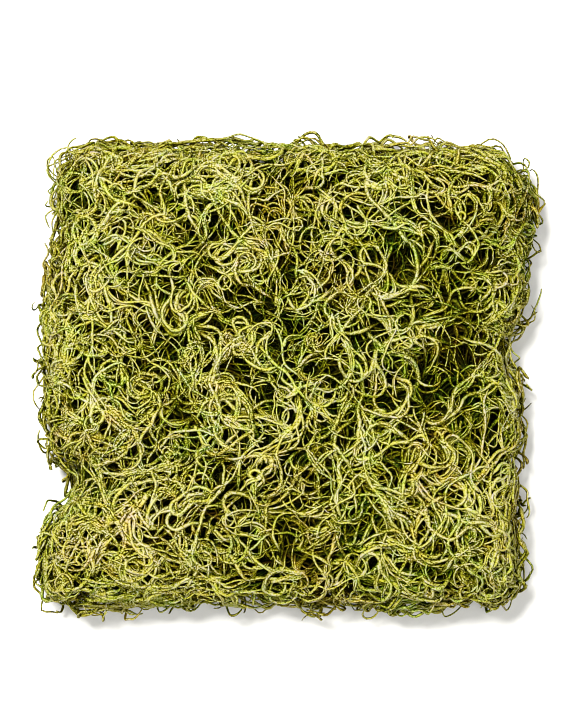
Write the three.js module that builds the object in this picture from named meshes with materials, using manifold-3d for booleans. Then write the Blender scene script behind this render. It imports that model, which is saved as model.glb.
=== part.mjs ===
// A bunch of curly Spanish moss, lying on its back: two pressed hanks of tangled strands that meet
// along a slanting crease. Millimetres, +Z up, the origin on the surface under the bunch.
// A hank is one body: a dense heart, and strands that come out of it, curl over and under each other
// and go back in. The real tangle has thousands of thin strands: these are fewer and larger than life.

import * as THREE from "three";
import { mergeVertices } from "three/addons/utils/BufferGeometryUtils.js";
import Module from "manifold-3d";

const wasm = await Module();
wasm.setup();

// The whole bunch: its outline seen from above and its pillow-like section.
const bunch = {
  width: 209,
  length: 203,
  thickness: 52,
  girthHeight: 20, // the widest level, above the surface
  shoulder: 36, // how far in from the outline the top reaches its full height
  belly: 20, // how far in from the outline the underside comes down to the surface
  cornerRadius: 22,
  squareness: 2.3, // exponent of the section's rounding, 2 for an ellipse
  cornerBlend: 6, // how softly the crease's shoulder joins the outline's
};

// The top is gently uneven, as packed moss is: long swells, and shorter ones across them.
const swells = { height: 1.9, across: 19, along: 23, startAcross: 1.1, startAlong: 0.4 };
const ripples = { height: 1.1, pace: 11 };

// Places where a side stands in (depth above 0) or swells out (below 0), each as a smooth bump.
const sideWaves = {
  left: [
    { y: -45, depth: 11, reach: 13 },
    { y: 72, depth: 3, reach: 30 },
    { y: -88, depth: -2, reach: 20 },
  ],
  right: [
    { y: 10, depth: 9, reach: 14 },
    { y: 60, depth: -4, reach: 26 },
    { y: -80, depth: 2, reach: 34 },
  ],
};

// The crease between the two hanks winds from the left notch to the right one.
const crease = {
  left: new THREE.Vector2(-97, -44),
  right: new THREE.Vector2(96, 12),
  bends: [
    { swing: 4.5, pace: 23, start: 0.6 },
    { swing: 1.8, pace: 11, start: 2 },
  ],
  shoulder: 6, // how far from it a hank reaches its full height
  clearance: 0.35, // half of the gap that keeps the hanks apart
  strandRoom: 3.4, // from the crease to a strand's centre line, at least
  insetShare: 0.12, // of an inset that is kept here, where the hanks press on each other
};

const heart = {
  inset: 11.6, // below the pillow's surface
  lumps: { height: 2.6, pace: new THREE.Vector3(37, 53, 41) }, // rough knots, by direction
  grid: { across: 16, along: 10, up: 4 },
  foot: { flat: 17, blend: 24, sink: 0.5 }, // where the heart is pressed flat on the surface
};

const strand = {
  width: { least: 4.4, most: 5.4 },
  height: { least: 2.4, most: 2.9 },
  step: 7.2, // between rings, along the strand
  length: { least: 80, most: 150 },
  depth: { least: 1.8, most: 8.4, layers: 3 }, // of its centre line, below the pillow's surface
  apart: { over: 3.3, beside: 5.2 }, // between the centre lines of two strands
  root: 15, // depth of both ends, inside the heart
  bend: { least: 0.0, most: 0.05 }, // steady curvature, 1/mm
  curl: { least: 0.04, most: 0.1 }, // curvature that comes and goes
  wave: { least: 30, most: 64 }, // length of one such turn
  shortest: 30,
  tries: 14, // walks that are tried from each starting spot
  elbowRoom: { wanted: 10, least: 3.5 }, // from its neighbours' lines, seen along the surface
  cost: { clash: 60, layer: 0.1 }, // of lying on another, and of each layer down, against changing layer
};

// Rim strands that loop out past the outline: their share, and how far they are carried.
const stray = { share: 0.4, reach: { least: 2, most: 5 } };

// Places on a hank where a strand may start, and how readily it does so on its rim and underside,
// against 1 on the top. Each start at a spot makes the next one there less likely.
const spots = { count: 500, rim: 0.64, under: 0.44, facing: 0.6, again: 0.8 };

const hanks = [
  {
    name: "upper_hank",
    side: 1, // of the crease
    strands: 56,
    seed: 12,
    middle: new THREE.Vector2(-4, 34),
    foot: new THREE.Vector2(0, 14),
    reach: new THREE.Vector3(100, 66, 24),
  },
  {
    name: "lower_hank",
    side: -1,
    strands: 40,
    seed: 30,
    middle: new THREE.Vector2(8, -58),
    foot: new THREE.Vector2(8, -58),
    reach: new THREE.Vector3(100, 50, 24),
  },
];

const mossColour = 0xa9a646;

// A repeatable source of random numbers from 0 to 1.
function seededRandom(seed) {
  let state = seed;
  return () => {
    state = (state + 0x6d2b79f5) | 0;
    let t = Math.imul(state ^ (state >>> 15), 1 | state);
    t = (t + Math.imul(t ^ (t >>> 7), 61 | t)) ^ t;
    return ((t ^ (t >>> 14)) >>> 0) / 4294967296;
  };
}

const between = (random, range) => range.least + (range.most - range.least) * random();

// ---- The pillow ----

const waveAt = (waves, y) =>
  waves.reduce((sum, w) => sum + w.depth * Math.exp(-(((y - w.y) / w.reach) ** 2)), 0);

// How far (x, y) lies inside the outline, which is a rounded rectangle with wavy sides.
function inwards(x, y, inset) {
  const left = -bunch.width / 2 + waveAt(sideWaves.left, y);
  const right = bunch.width / 2 - waveAt(sideWaves.right, y);
  const radius = bunch.cornerRadius;
  const u = Math.abs(x - (left + right) / 2) - ((right - left) / 2 - inset - radius);
  const v = Math.abs(y) - (bunch.length / 2 - inset - radius);
  return radius - Math.hypot(Math.max(u, 0), Math.max(v, 0)) - Math.min(Math.max(u, v), 0);
}

// How far (x, y) is from the crease, above 0 on the upper hank's side.
const creaseAlong = crease.right.clone().sub(crease.left).normalize();
const creaseNormal = new THREE.Vector2(-creaseAlong.y, creaseAlong.x);
function pastCrease(x, y) {
  const from = new THREE.Vector2(x, y).sub(crease.left);
  const along = from.dot(creaseAlong);
  const winding = crease.bends.map((b) => b.swing * Math.sin(along / b.pace + b.start));
  return from.dot(creaseNormal) - winding.reduce((a, b) => a + b, 0);
}

function topHeight(x, y) {
  const across = Math.sin(x / swells.across + swells.startAcross);
  const along = Math.cos(y / swells.along + swells.startAlong);
  const ripple = Math.sin((x - y) / ripples.pace);
  return bunch.thickness + swells.height * across * along + ripples.height * ripple;
}

const softMin = (a, b, blend) => {
  const h = Math.max(blend - Math.abs(a - b), 0) / blend;
  return Math.min(a, b) - (h * h * blend) / 4;
};

// Above 0 outside the pillow of one hank, below 0 inside. side is 1 for the upper hank, -1 for the lower.
function beyond(p, side, inset) {
  const toCrease = side * pastCrease(p.x, p.y) - crease.clearance - inset * crease.insetShare;
  const depth = softMin(
    inwards(p.x, p.y, inset),
    (toCrease * bunch.shoulder) / crease.shoulder,
    bunch.cornerBlend,
  );
  const above = p.z >= bunch.girthHeight;
  const room = above
    ? topHeight(p.x, p.y) - bunch.girthHeight - inset
    : bunch.girthHeight - inset;
  const u = Math.max(1 - depth / (above ? bunch.shoulder : bunch.belly), 0);
  const w = Math.abs(p.z - bunch.girthHeight) / room;
  const k = bunch.squareness;
  return (u ** k + w ** k) ** (1 / k) - 1;
}

const probe = 0.05; // step of the numeric gradient
const longestMove = 4; // of a point in one round of settling
const settlingRounds = 5;
const leastSlope = 1e-6; // keeps the move finite where the slope vanishes
const halvings = 30;

function gradient(p, side, inset) {
  const slope = (axis) => {
    const ahead = p.clone();
    const behind = p.clone();
    ahead[axis] += probe;
    behind[axis] -= probe;
    return (beyond(ahead, side, inset) - beyond(behind, side, inset)) / (2 * probe);
  };
  return new THREE.Vector3(slope("x"), slope("y"), slope("z"));
}

// Moves p onto the pillow's surface at that inset, and returns the outward direction there.
function settle(p, side, inset) {
  const outwards = gradient(p, side, inset);
  for (let round = 0; round < settlingRounds; round++) {
    const steepness = Math.max(outwards.length(), leastSlope);
    const away = beyond(p, side, inset) / steepness;
    outwards.normalize();
    p.addScaledVector(outwards, -THREE.MathUtils.clamp(away, -longestMove, longestMove));
    outwards.copy(gradient(p, side, inset));
  }
  return outwards.normalize();
}

// ---- Solids ----

const sameSpot = 1e-4; // vertices nearer than this are one

function solidFrom(geometry) {
  const bare = geometry.clone();
  bare.deleteAttribute("normal");
  bare.deleteAttribute("uv");
  const merged = mergeVertices(bare, sameSpot);
  return new wasm.Manifold(
    new wasm.Mesh({
      numProp: 3,
      vertProperties: merged.attributes.position.array,
      triVerts: new Uint32Array(merged.index.array),
    }),
  );
}

function geometryFrom(solid) {
  const mesh = solid.getMesh();
  return new THREE.BufferGeometry()
    .setAttribute("position", new THREE.BufferAttribute(mesh.vertProperties, 3))
    .setIndex(new THREE.BufferAttribute(mesh.triVerts, 1))
    .toNonIndexed();
}

// The point where a ray from a hank's middle leaves its pillow at the inset given, found by halving.
function leaving(direction, hank, insetAt) {
  const from = new THREE.Vector3(hank.middle.x, hank.middle.y, bunch.girthHeight);
  const p = new THREE.Vector3();
  let inside = 0;
  let outside = bunch.width;
  for (let round = 0; round < halvings; round++) {
    const reach = (inside + outside) / 2;
    p.copy(from).addScaledVector(direction, reach);
    if (beyond(p, hank.side, insetAt(p)) > 0) outside = reach;
    else inside = reach;
  }
  return p;
}

// ---- The heart of a hank ----

const lump = (direction) => heart.lumps.height * Math.sin(direction.dot(heart.lumps.pace));

// The heart lies deeper than the strands all round, except at its foot, where it meets the surface.
function heartInset(p, inset, hank) {
  if (p.z > bunch.girthHeight) return inset;
  const { flat, blend, sink } = heart.foot;
  const away = Math.hypot(p.x - hank.foot.x, p.y - hank.foot.y);
  const raised = THREE.MathUtils.smoothstep(away, flat, flat + blend);
  return -sink + (inset + sink) * raised;
}

function heartSolid(hank) {
  const { across, along, up } = heart.grid;
  const block = new THREE.BoxGeometry(2, 2, 2, across, along, up);
  const place = block.attributes.position;
  for (let i = 0; i < place.count; i++) {
    const direction = new THREE.Vector3().fromBufferAttribute(place, i);
    direction.multiply(hank.reach).normalize();
    const inset = heart.inset + lump(direction);
    const p = leaving(direction, hank, (q) => heartInset(q, inset, hank));
    place.setXYZ(i, p.x, p.y, p.z);
  }
  return solidFrom(block);
}

// ---- Strands ----

// Points of the strands laid so far, kept in cubes so that near ones are found quickly.
class Laid {
  constructor(cell) {
    this.cell = cell;
    this.cubes = new Map();
  }
  key(x, y, z) {
    return `${x},${y},${z}`;
  }
  add(point) {
    const [x, y, z] = point.toArray().map((v) => Math.floor(v / this.cell));
    const key = this.key(x, y, z);
    if (!this.cubes.has(key)) this.cubes.set(key, []);
    this.cubes.get(key).push(point);
  }
  near(p) {
    const [x, y, z] = p.toArray().map((v) => Math.floor(v / this.cell));
    const points = [];
    for (let i = -1; i <= 1; i++)
      for (let j = -1; j <= 1; j++)
        for (let k = -1; k <= 1; k++)
          points.push(...(this.cubes.get(this.key(x + i, y + j, z + k)) ?? []));
    return points;
  }
  // Distance from p to the nearest laid point, or the cell size where none is near.
  nearest(p) {
    return this.near(p).reduce((least, q) => Math.min(least, p.distanceTo(q)), this.cell);
  }
}

const samplesPerStep = 2;
const stride = strand.step / samplesPerStep;

// A winding walk over the pillow's surface. It stops where it would cross itself.
function walk(start, heading, hank, random) {
  const steps = Math.round(between(random, strand.length) / strand.step);
  const bend = between(random, strand.bend) * (random() < 0.5 ? -1 : 1);
  const curl = between(random, strand.curl);
  const wave = between(random, strand.wave);
  const phase = 2 * Math.PI * random();
  const foot = start.clone();
  const outwards = settle(foot, hank.side, 0);
  const ahead = heading.clone().projectOnPlane(outwards).normalize();
  const samples = [];
  for (let i = 0; i <= steps * samplesPerStep; i++) {
    const meets = (s) => s.foot.distanceTo(foot) < strand.width.most;
    const atCrease = hank.side * pastCrease(foot.x, foot.y) < crease.strandRoom;
    if (atCrease || samples.slice(0, -samplesPerStep).some(meets)) break;
    samples.push({ foot: foot.clone(), outwards: outwards.clone(), ahead: ahead.clone() });
    const turn = (bend + curl * Math.sin((2 * Math.PI * i * stride) / wave + phase)) * stride;
    ahead.applyAxisAngle(outwards, turn);
    foot.addScaledVector(ahead, stride);
    outwards.copy(settle(foot, hank.side, 0));
    ahead.projectOnPlane(outwards).normalize();
  }
  return samples;
}

// The place at some depth under a sample's foot.
const sunk = (sample, depth) => sample.foot.clone().addScaledVector(sample.outwards, -depth);

// How far a strand at this depth under a sample would run into those already laid: 0 where it is
// clear, 1 where it would lie on one of them.
function clashAt(sample, depth, laid) {
  const centre = sunk(sample, depth);
  const offset = new THREE.Vector3();
  let least = 1;
  for (const point of laid.near(centre)) {
    offset.subVectors(point, centre);
    const over = offset.dot(sample.outwards);
    const beside = Math.sqrt(Math.max(offset.lengthSq() - over * over, 0));
    least = Math.min(least, Math.hypot(over / strand.apart.over, beside / strand.apart.beside));
  }
  return 1 - least;
}

// How much a strand that dives into the heart at this sample would run into others.
function diveClash(sample, laid) {
  let clash = 0;
  for (let depth = strand.depth.least; depth < heart.inset; depth += strand.apart.over / 2) {
    clash += clashAt(sample, depth, laid) ** 2;
  }
  return clash;
}

// Cuts a walk back at both ends, by up to a quarter, to where it can dive with the least clash.
function clearEnds(samples, laid) {
  const spare = Math.floor(samples.length / 4);
  const best = (list) => {
    const clashes = list.map((sample) => diveClash(sample, laid));
    return clashes.indexOf(Math.min(...clashes));
  };
  const first = best(samples.slice(0, spare));
  const last = samples.length - 1 - best(samples.slice(-spare).reverse());
  return samples.slice(first, last + 1 - ((last - first) % samplesPerStep));
}

// The depth of each sample, so that the strand passes over or under those already laid with the
// fewest changes: the cheapest way through a table of samples and layers.
function weave(samples, laid, reach) {
  const { least, most, layers } = strand.depth;
  const layer = (j) => least + ((most - least) * j) / (layers - 1);
  const rise = (i) => {
    const sideways = 1 - Math.abs(samples[i].outwards.z);
    return reach * sideways * Math.sin((Math.PI * i) / (samples.length - 1));
  };
  const table = [];
  samples.forEach((sample, i) => {
    const row = [];
    for (let j = 0; j < layers; j++) {
      const clash = clashAt(sample, layer(j) - rise(i), laid);
      let best = { cost: 0, from: j };
      if (i > 0) {
        const ways = table[i - 1].map((w, k) => ({ cost: w.cost + Math.abs(k - j), from: k }));
        best = ways.reduce((a, b) => (b.cost < a.cost ? b : a));
      }
      const here = strand.cost.clash * clash ** 2 + strand.cost.layer * j;
      row.push({ cost: best.cost + here, from: best.from });
    }
    table.push(row);
  });
  const last = table[table.length - 1];
  let j = last.indexOf(last.reduce((a, b) => (b.cost < a.cost ? b : a)));
  const depths = [];
  for (let i = samples.length - 1; i >= 0; i--) {
    depths[i] = layer(j) - rise(i);
    j = table[i][j].from;
  }
  return depths;
}

// The rings of one strand, which comes out of the heart, runs over and under its neighbours and
// goes back in.
function rings(samples, laid, hank, reach) {
  const depths = weave(samples, laid, reach);
  const end = samples.length - 1;
  samples.forEach((sample, i) => {
    const centre = sunk(sample, depths[i]);
    if (i === 0) centre.copy(sunk(samples[1], strand.root));
    if (i === end) centre.copy(sunk(samples[end - 1], strand.root));
    const tooNear = Math.max(crease.strandRoom - hank.side * pastCrease(centre.x, centre.y), 0);
    centre.x += hank.side * tooNear * creaseNormal.x;
    centre.y += hank.side * tooNear * creaseNormal.y;
    sample.centre = centre;
    laid.add(centre);
  });
  return samples.filter((sample, i) => i % samplesPerStep === 0);
}

// A three-sided bar bent along the rings, flat side towards the heart. The corners of its section, on
// a circle of radius 1, reach half the square root of 3 sideways, 1 outwards and a half inwards.
const barWidth = Math.sqrt(3);
const barHeight = 1.5;

function strandSolid(list, width, height) {
  const bar = new THREE.CylinderGeometry(1, 1, 1, 3, list.length - 1);
  const place = bar.attributes.position;
  const corner = new THREE.Vector3();
  for (let i = 0; i < place.count; i++) {
    corner.fromBufferAttribute(place, i);
    const at = Math.round((0.5 - corner.y) * (list.length - 1));
    const { centre, outwards, ahead } = list[at];
    const before = list[Math.max(at - 1, 0)].centre;
    const after = list[Math.min(at + 1, list.length - 1)].centre;
    const along = after.clone().sub(before).normalize();
    const up = along.clone().cross(outwards.clone().cross(ahead)).normalize();
    const across = up.clone().cross(along);
    const p = centre.clone();
    p.addScaledVector(across, (corner.x * width) / barWidth);
    p.addScaledVector(up, (corner.z * height) / barHeight);
    place.setXYZ(i, p.x, p.y, p.z);
  }
  return solidFrom(bar);
}

// Places spread over a hank's pillow, each with how much it asks to be covered.
function startingSpots(hank, random) {
  const list = [];
  for (let i = 0; i < spots.count; i++) {
    const direction = new THREE.Vector3(2 * random() - 1, 2 * random() - 1, 2 * random() - 1);
    const foot = leaving(direction.multiply(hank.reach).normalize(), hank, () => 0);
    const outwards = settle(foot, hank.side, 0);
    const inCrease = hank.side * pastCrease(foot.x, foot.y) < crease.shoulder;
    const offTop = outwards.z < -spots.facing ? spots.under : spots.rim;
    const worth = outwards.z < spots.facing ? offTop : 1;
    list.push({ foot, worth: inCrease ? 0 : worth, bare: bunch.width });
  }
  return list;
}

// How well a walk fills bare surface: more for room around it, less where it crosses others.
function filling(samples, feet) {
  const { wanted, least } = strand.elbowRoom;
  const room = samples.map(({ foot }) => Math.min(feet.nearest(foot), wanted) - least);
  return room.reduce((a, b) => a + b, 0);
}

// The best of several walks from one spot.
function bestWalk(spot, hank, random, feet) {
  const walks = [];
  for (let i = 0; i < strand.tries; i++) {
    const angle = 2 * Math.PI * random();
    const heading = new THREE.Vector3(Math.cos(angle), Math.sin(angle), 2 * random() - 1);
    const samples = walk(spot.foot, heading, hank, random);
    walks.push({ samples, worth: filling(samples, feet) });
  }
  return walks.reduce((a, b) => (b.worth > a.worth ? b : a)).samples;
}

// Each strand starts at the barest spot that is left.
function strandSolids(hank) {
  const random = seededRandom(hank.seed);
  const starts = startingSpots(hank, random);
  const laid = new Laid(strand.apart.beside);
  const feet = new Laid(strand.elbowRoom.wanted);
  const solids = [];
  while (solids.length < hank.strands) {
    const spot = starts.reduce((a, b) => (b.bare * b.worth > a.bare * a.worth ? b : a));
    const samples = clearEnds(bestWalk(spot, hank, random, feet), laid);
    spot.worth *= spots.again;
    if (samples.length * stride < strand.shortest) continue;
    const reach = random() < stray.share ? between(random, stray.reach) : 0;
    const list = rings(samples, laid, hank, reach);
    solids.push(strandSolid(list, between(random, strand.width), between(random, strand.height)));
    samples.forEach(({ foot }) => feet.add(foot));
    for (const other of starts)
      for (const { foot } of samples) other.bare = Math.min(other.bare, other.foot.distanceTo(foot));
  }
  return solids;
}

// ---- The hanks ----

const moss = new THREE.MeshStandardMaterial({ color: mossColour, roughness: 0.85, metalness: 0 });

// The strands pressed on the surface are cut flat there. Scraps that this leaves loose, and hollows
// that strands shut in, are pieces of their own and are left out.
function hankMesh(hank) {
  const grown = wasm.Manifold.union([heartSolid(hank), ...strandSolids(hank)]);
  const pieces = grown.trimByPlane([0, 0, 1], 0).decompose();
  const body = pieces.reduce((a, b) => (b.volume() > a.volume() ? b : a));
  const mesh = new THREE.Mesh(geometryFrom(body), moss);
  mesh.name = hank.name;
  return mesh;
}

const spanishMoss = new THREE.Group();
spanishMoss.add(...hanks.map(hankMesh));

export default spanishMoss;
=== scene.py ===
import bpy
import numpy as np
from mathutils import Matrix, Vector


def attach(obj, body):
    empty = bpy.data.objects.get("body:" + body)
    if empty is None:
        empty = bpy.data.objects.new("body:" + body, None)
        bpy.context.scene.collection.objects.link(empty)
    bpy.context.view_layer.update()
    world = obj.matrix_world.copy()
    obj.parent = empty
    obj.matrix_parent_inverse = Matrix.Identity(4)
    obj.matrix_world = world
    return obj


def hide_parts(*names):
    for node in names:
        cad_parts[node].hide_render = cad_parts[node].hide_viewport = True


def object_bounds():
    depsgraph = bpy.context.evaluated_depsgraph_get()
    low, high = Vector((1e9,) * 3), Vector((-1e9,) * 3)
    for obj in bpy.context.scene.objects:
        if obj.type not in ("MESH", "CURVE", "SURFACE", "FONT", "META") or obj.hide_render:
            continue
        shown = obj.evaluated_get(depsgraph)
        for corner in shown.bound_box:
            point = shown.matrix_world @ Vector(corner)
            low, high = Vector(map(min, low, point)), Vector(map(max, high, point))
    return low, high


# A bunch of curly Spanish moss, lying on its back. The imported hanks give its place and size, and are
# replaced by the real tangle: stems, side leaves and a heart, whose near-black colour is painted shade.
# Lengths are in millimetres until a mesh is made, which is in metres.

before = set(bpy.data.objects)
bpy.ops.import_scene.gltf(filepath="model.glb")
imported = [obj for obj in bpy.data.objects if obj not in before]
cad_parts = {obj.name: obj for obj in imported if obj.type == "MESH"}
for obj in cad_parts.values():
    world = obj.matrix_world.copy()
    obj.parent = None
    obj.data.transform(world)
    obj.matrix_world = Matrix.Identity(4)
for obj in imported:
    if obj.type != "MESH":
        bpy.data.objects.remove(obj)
cadLow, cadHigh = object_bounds()
metre = 1000.0
low = np.array(cadLow) * metre
high = np.array(cadHigh) * metre
print("frame loaded, millimetres", low.round(1), high.round(1))

# The pillow that the strands lie on.
pillow = {
    "margin": 6.4,  # from its outline to the furthest loops
    "cover": 2.9,  # from its top to the highest loops
    "girth": 20.0,  # height of the widest level
    "shoulder": 36.0,  # how far in from the outline the top is reached
    "belly": 20.0,  # how far in the underside is reached
    "corners": (22.0, 13.0),  # radius at the top and at the foot of the outline
    "roundness": 2.3,  # power of the superellipse from the outline to the top
    "leftWaves": [
        (-43.5, 11.5, 14.0, 8.0),
        (72.0, 3.0, 30.0, 30.0),
        (8.0, -1.4, 30.0, 30.0),
        (-88.0, -2.0, 20.0, 20.0),
    ],
    "rightWaves": [(10.0, 8.0, 14.0, 14.0), (60.0, -3.6, 26.0, 26.0), (-56.0, 3.4, 64.0, 46.0)],
    "swell": 1.9,  # height of the broad bumps of the top
    "swellPace": (19.0, 23.0),  # along x and y
    "swellStart": (1.1, 0.4),
    "ripple": 1.1,  # height of the slanting ripples
    "ripplePace": 11.0,
}
halfWidth = (high[0] - low[0]) / 2 - pillow["margin"]
halfLength = (high[1] - low[1]) / 2 - pillow["margin"]
thickness = high[2] - pillow["cover"]

# The winding groove where the two hanks meet.
crease = {
    "left": np.array([-97.0, -44.0]),
    "right": np.array([96.0, 12.0]),
    "bends": [(4.5, 23.0, 0.6), (1.8, 11.0, 2.0)],  # swing, pace, start
    "depth": 3.0,
    "reach": 6.0,  # to either side
}
creaseAlong = (crease["right"] - crease["left"]) / np.linalg.norm(crease["right"] - crease["left"])
creaseNormal = np.array([-creaseAlong[1], creaseAlong[0]])


# Signed distance from the winding crease: the offset along its normal, less a sum of sines.
def pastCrease(x, y):
    fromLeft = np.stack([x - crease["left"][0], y - crease["left"][1]], -1)
    along = fromLeft @ creaseAlong
    winding = sum(swing * np.sin(along / pace + start) for swing, pace, start in crease["bends"])
    return fromLeft @ creaseNormal - winding


# Sum of bell curves along y, one for each place where a side stands in or swells out. A wave is its
# y, its depth, and its reach downwards and upwards.
def sideWave(waves, y):
    total = 0
    for at, depth, down, up in waves:
        total = total + depth * np.exp(-(((y - at) / np.where(y < at, down, up)) ** 2))
    return total


# Distance inside a rounded rectangle whose left and right sides follow the waves.
def inwards(x, y):
    left = -halfWidth + sideWave(pillow["leftWaves"], y)
    right = halfWidth - sideWave(pillow["rightWaves"], y)
    radius = np.where(y > 0, *pillow["corners"])
    u = np.abs(x - (left + right) / 2) - ((right - left) / 2 - radius)
    v = np.abs(y) - (halfLength - radius)
    return radius - np.hypot(np.maximum(u, 0), np.maximum(v, 0)) - np.minimum(np.maximum(u, v), 0)


# Above 0 outside the pillow and below 0 inside: a superellipse of the distance in from the outline
# and the height from the girth, with a groove along the crease.
def beyond(p, inset=0.0):
    x, y, z = p[..., 0], p[..., 1], p[..., 2]
    depth = inwards(x, y) - inset
    paceX, paceY = pillow["swellPace"]
    startX, startY = pillow["swellStart"]
    swell = pillow["swell"] * np.sin(x / paceX + startX) * np.cos(y / paceY + startY)
    ripple = pillow["ripple"] * np.sin((x - y) / pillow["ripplePace"])
    groove = crease["depth"] * np.exp(-((pastCrease(x, y) / crease["reach"]) ** 2))
    above = z >= pillow["girth"]
    roomAbove = thickness + swell + ripple - groove - pillow["girth"] - inset
    room = np.where(above, roomAbove, pillow["girth"] - inset)
    reach = np.where(above, pillow["shoulder"], pillow["belly"])
    u = np.maximum(1 - depth / reach, 0)
    w = np.abs(z - pillow["girth"]) / room
    k = pillow["roundness"]
    return (u**k + w**k) ** (1 / k) - 1


# Central differences of beyond along x, y and z.
def gradient(p):
    step = 0.05
    axes = np.eye(3) * step
    return np.stack([(beyond(p + a) - beyond(p - a)) / (2 * step) for a in axes], -1)


# Each vector over its own length.
def unit(v):
    return v / np.maximum(np.linalg.norm(v, axis=-1, keepdims=True), 1e-9)


# Newton steps onto the pillow: p less its value over its slope, along the slope, up to a longest step.
def settle(p, rounds):
    longest = 5.0
    for _ in range(rounds):
        slope = gradient(p)
        steep = np.maximum(np.linalg.norm(slope, axis=-1, keepdims=True), 1e-6)
        away = np.clip(beyond(p)[..., None] / steep, -longest, longest)
        p = p - away * slope / steep
    return p, unit(gradient(p))


clumps = {
    "coarsePace": (7.3, 6.1),  # along x and y
    "coarseTilt": (9.0, 8.0),  # pace of their drift with height
    "finePace": (3.9, 4.6),  # along the two diagonals
    "fineTilt": 5.0,
    "shares": (0.6, 0.4),
}


# Bumps all over the bunch, from -1 to 1: products of sines along tilted axes, coarse ones and fine ones.
def clump(p):
    x, y, z = p[..., 0], p[..., 1], p[..., 2]
    paceX, paceY = clumps["coarsePace"]
    tiltX, tiltY = clumps["coarseTilt"]
    coarse = np.sin(x / paceX + z / tiltX + 1) * np.sin(y / paceY - z / tiltY)
    rising, falling = clumps["finePace"]
    fine = np.sin((x + y) / rising + 2) * np.sin((x - y) / falling + z / clumps["fineTilt"])
    return clumps["shares"][0] * coarse + clumps["shares"][1] * fine


# Where the bunch sinks, above 0, or swells, below 0. A place is its x, its y, its depth, and its reach
# along x and y.
hollows = [
    (74.0, 12.0, 3.0, 11.0, 34.0), (-41.0, -13.0, 3.0, 10.0, 11.0), (-40.0, 20.0, 0.8, 11.0, 11.0),
    (-40.0, 48.0, 0.5, 10.0, 13.0), (-14.0, 29.0, 1.5, 15.0, 9.0), (-60.0, 28.0, -1.3, 10.0, 10.0),
    (38.0, 20.0, 0.2, 10.0, 12.0), (54.0, 50.0, 1.4, 13.0, 11.0), (-90.0, 0.0, -1.2, 13.0, 90.0),
    (-2.0, 3.0, 1.3, 10.0, 8.0), (-2.0, -17.0, -1.3, 11.0, 11.0), (95.0, 12.0, -1.4, 8.0, 24.0),
    (-60.0, -16.0, -1.5, 10.0, 13.0), (52.0, -30.0, 0.7, 12.0, 13.0), (-61.0, -44.0, -2.4, 12.0, 13.0),
    (16.0, 30.0, -0.8, 10.0, 12.0), (62.0, -88.0, 2.2, 18.0, 11.0), (54.0, 14.0, -1.3, 9.0, 8.0),
    (54.0, 31.0, 1.3, 10.0, 8.0), (-42.0, -74.0, -1.2, 12.0, 10.0), (74.0, -30.0, 1.2, 11.0, 14.0),
    (36.0, -60.0, 2.1, 10.0, 10.0), (54.0, -9.0, 2.0, 10.0, 9.0), (-22.0, -50.0, -1.5, 11.0, 10.0),
    (-22.0, -34.0, 0.3, 9.0, 8.0), (0.0, -62.0, 1.1, 13.0, 22.0), (12.0, -76.0, 1.6, 16.0, 9.0),
    (-21.0, 3.0, -3.0, 10.0, 10.0), (-2.0, 16.0, -0.9, 9.0, 9.0), (17.0, 3.0, -2.2, 10.0, 10.0),
    (-59.0, 3.0, -1.2, 10.0, 10.0), (-59.0, 55.0, 1.0, 11.0, 11.0), (36.0, 52.0, 3.2, 10.0, 11.0),
    (36.0, -16.0, 1.9, 10.0, 14.0), (36.0, -41.0, 2.0, 12.0, 11.0), (-2.0, -86.0, 1.2, 13.0, 9.0),
    (-21.0, -78.0, 0.7, 9.0, 9.0), (-50.0, -36.0, -1.6, 16.0, 9.0), (-40.0, 34.0, 0.8, 10.0, 9.0),
]


# Sum of bell curves about the hollows. It is nothing at the girth, and whole at twice that height.
def hollow(p):
    total = 0
    for x, y, depth, reachX, reachY in hollows:
        total = total + depth * np.exp(-(((p[..., 0] - x) / reachX) ** 2) - ((p[..., 1] - y) / reachY) ** 2)
    return total * np.clip(p[..., 2] / pillow["girth"] - 1, 0, 1)


# Drawn between two limits, and nearer the first one the higher the power.
def spread(rng, pair, shape, power=1.0):
    return pair[0] + (pair[1] - pair[0]) * rng.random(shape) ** power


# 0 below 0 and 1 above 1, with an even ease between.
def smooth(t):
    t = np.clip(t, 0, 1)
    return t * t * (3 - 2 * t)


# A strand that would come up past the limit rounds over and goes back down: a hyperbola about it.
def below(limit, depth, rounding=0.5):
    return limit + np.hypot(depth - limit, rounding)


startsAt = {
    "top": 4.0,  # in from the outline
    "under": 8.0,  # in from the outline
    "lowest": 3.0,  # above the surface, round the rim
    "highest": 8.0,  # below the top, round the rim
    "outside": 1.1,  # size of a rectangle that holds the outline, over the outline's own
    "halvings": 20,
}


# Points drawn evenly over the outline, more than edge inside it. Twice as many are drawn, because
# some of them fall outside.
def inOutline(rng, count, edge):
    x = rng.uniform(-halfWidth, halfWidth, count * 2)
    y = rng.uniform(-halfLength, halfLength, count * 2)
    keep = np.flatnonzero(inwards(x, y) > edge)[:count]
    return x[keep], y[keep]


def topStarts(rng, count):
    x, y = inOutline(rng, count, startsAt["top"])
    return np.stack([x, y, np.full(len(x), thickness)], -1)


def underStarts(rng, count):
    x, y = inOutline(rng, count, startsAt["under"])
    return np.stack([x, y, np.zeros(len(x))], -1)


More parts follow.
